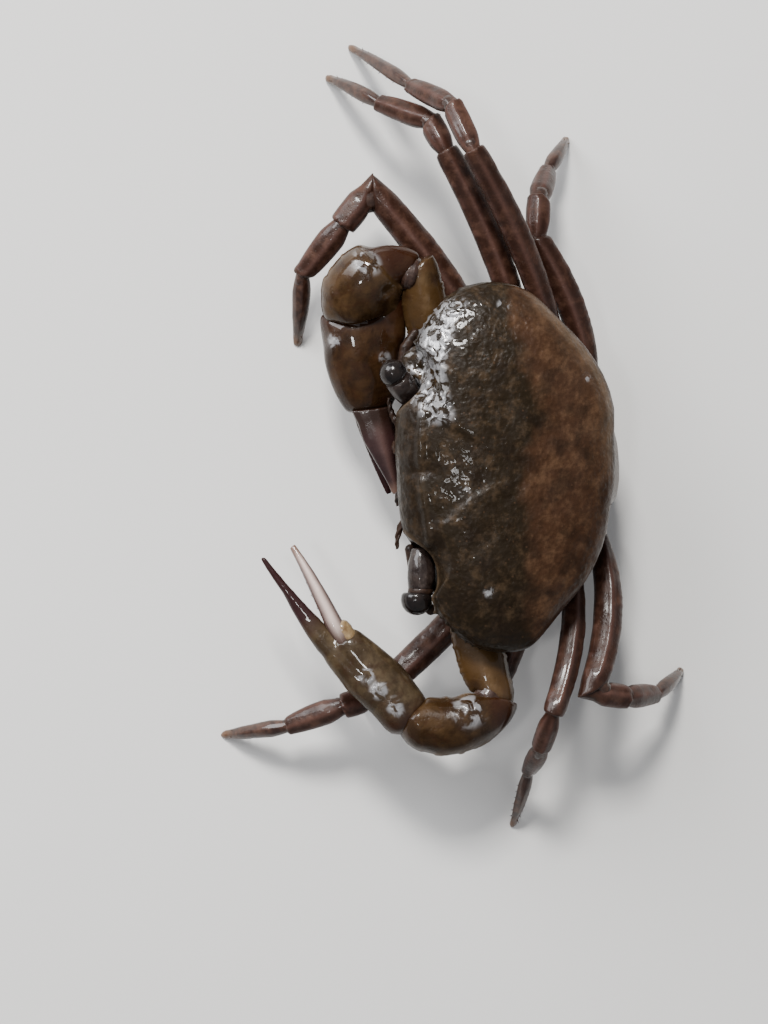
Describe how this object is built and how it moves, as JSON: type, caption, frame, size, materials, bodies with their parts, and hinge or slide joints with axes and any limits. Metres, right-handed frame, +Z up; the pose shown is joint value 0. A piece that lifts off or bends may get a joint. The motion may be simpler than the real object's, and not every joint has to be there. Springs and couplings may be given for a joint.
{
  "type": "freshwater crab model",
  "caption": "Life-size freshwater crab standing on its walking legs, one claw folded across its face and the other reaching forward with open fingers.",
  "frame": {"origin": "on the floor under the middle of the bounding box", "axes": "+Z up, the crab faces -Y, its own left side is towards +X"},
  "size_m": [0.0468, 0.0278, 0.0101],
  "materials": {
    "shell": "wet, finely pitted dark olive-black shell, browner towards the rear",
    "claw_shell": "wet olive-brown shell with sharp highlights",
    "claw_finger": "glossy purple-brown finger, paler and slightly translucent on the moving finger",
    "leg_shell": "glossy dark purple-brown leg shell",
    "underside": "pale yellowish brown underside shell",
    "stalk": "glossy dark brown",
    "eye": "polished black"
  },
  "bodies": {
    "root": {"abdomen": "underside", "antenna_left": "stalk", "antenna_right": "stalk", "antennule_left": "stalk", "antennule_right": "stalk", "carapace": "shell", "claw_left_carpus": "claw_shell", "claw_left_dactyl": "claw_finger", "claw_left_ischium": "claw_shell", "claw_left_merus": "claw_shell", "claw_left_palm": "claw_shell", "claw_right_carpus": "claw_shell", "claw_right_dactyl": "claw_finger", "claw_right_ischium": "claw_shell", "claw_right_merus": "claw_shell", "claw_right_palm": "claw_shell", "eye_left": "eye", "eye_right": "eye", "eye_stalk_left": "stalk", "eye_stalk_right": "stalk", "leg_left_2_carpus": "leg_shell", "leg_left_2_dactyl": "leg_shell", "leg_left_2_merus": "leg_shell", "leg_left_2_propodus": "leg_shell", "leg_left_3_carpus": "leg_shell", "leg_left_3_dactyl": "leg_shell", "leg_left_3_merus": "leg_shell", "leg_left_3_propodus": "leg_shell", "leg_left_4_carpus": "leg_shell", "leg_left_4_dactyl": "leg_shell", "leg_left_4_merus": "leg_shell", "leg_left_4_propodus": "leg_shell", "leg_left_5_carpus": "leg_shell", "leg_left_5_dactyl": "leg_shell", "leg_left_5_merus": "leg_shell", "leg_left_5_propodus": "leg_shell", "leg_right_2_carpus": "leg_shell", "leg_right_2_dactyl": "leg_shell", "leg_right_2_merus": "leg_shell", "leg_right_2_propodus": "leg_shell", "leg_right_3_carpus": "leg_shell", "leg_right_3_dactyl": "leg_shell", "leg_right_3_merus": "leg_shell", "leg_right_3_propodus": "leg_shell", "leg_right_4_carpus": "leg_shell", "leg_right_4_dactyl": "leg_shell", "leg_right_4_merus": "leg_shell", "leg_right_4_propodus": "leg_shell", "leg_right_5_carpus": "leg_shell", "leg_right_5_dactyl": "leg_shell", "leg_right_5_merus": "leg_shell", "leg_right_5_propodus": "leg_shell", "maxilliped_left": "underside", "maxilliped_right": "underside", "thorax": "underside"}
  },
  "joints": []
}
